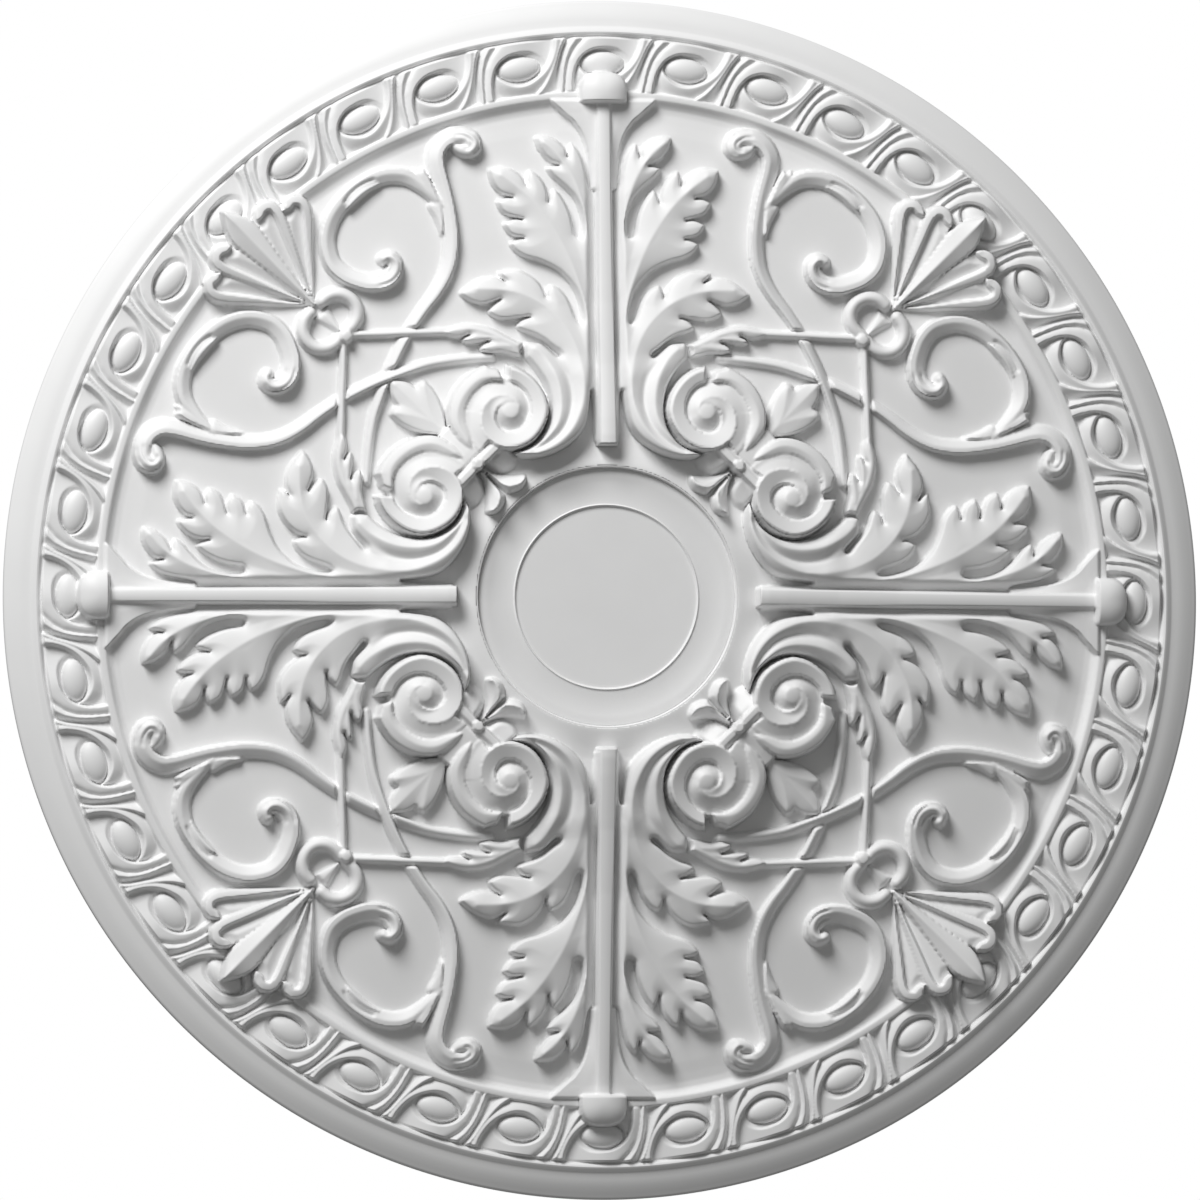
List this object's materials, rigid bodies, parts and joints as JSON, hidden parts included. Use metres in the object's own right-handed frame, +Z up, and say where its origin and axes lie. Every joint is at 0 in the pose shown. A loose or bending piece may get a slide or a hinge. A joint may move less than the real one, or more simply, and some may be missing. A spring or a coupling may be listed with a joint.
{
  "type": "ceiling rose",
  "caption": "Round moulded ceiling rose: leaf sprays, scrollwork, palmettes and volutes in a ring of egg-and-dart, with a plain recessed centre for a lamp canopy.",
  "frame": {"origin": "centre of the flat back face, on the ceiling plane", "axes": "+Z up into the ceiling, square to the back face; the ornament faces down, -Z; +X and +Y run along two of the four straight ribs"},
  "size_m": [0.67, 0.67, 0.0457],
  "materials": {
    "casting": "factory-primed matt white, slightly satin on the crests"
  },
  "bodies": {
    "root": {"ceiling_rose": "casting"}
  },
  "joints": []
}
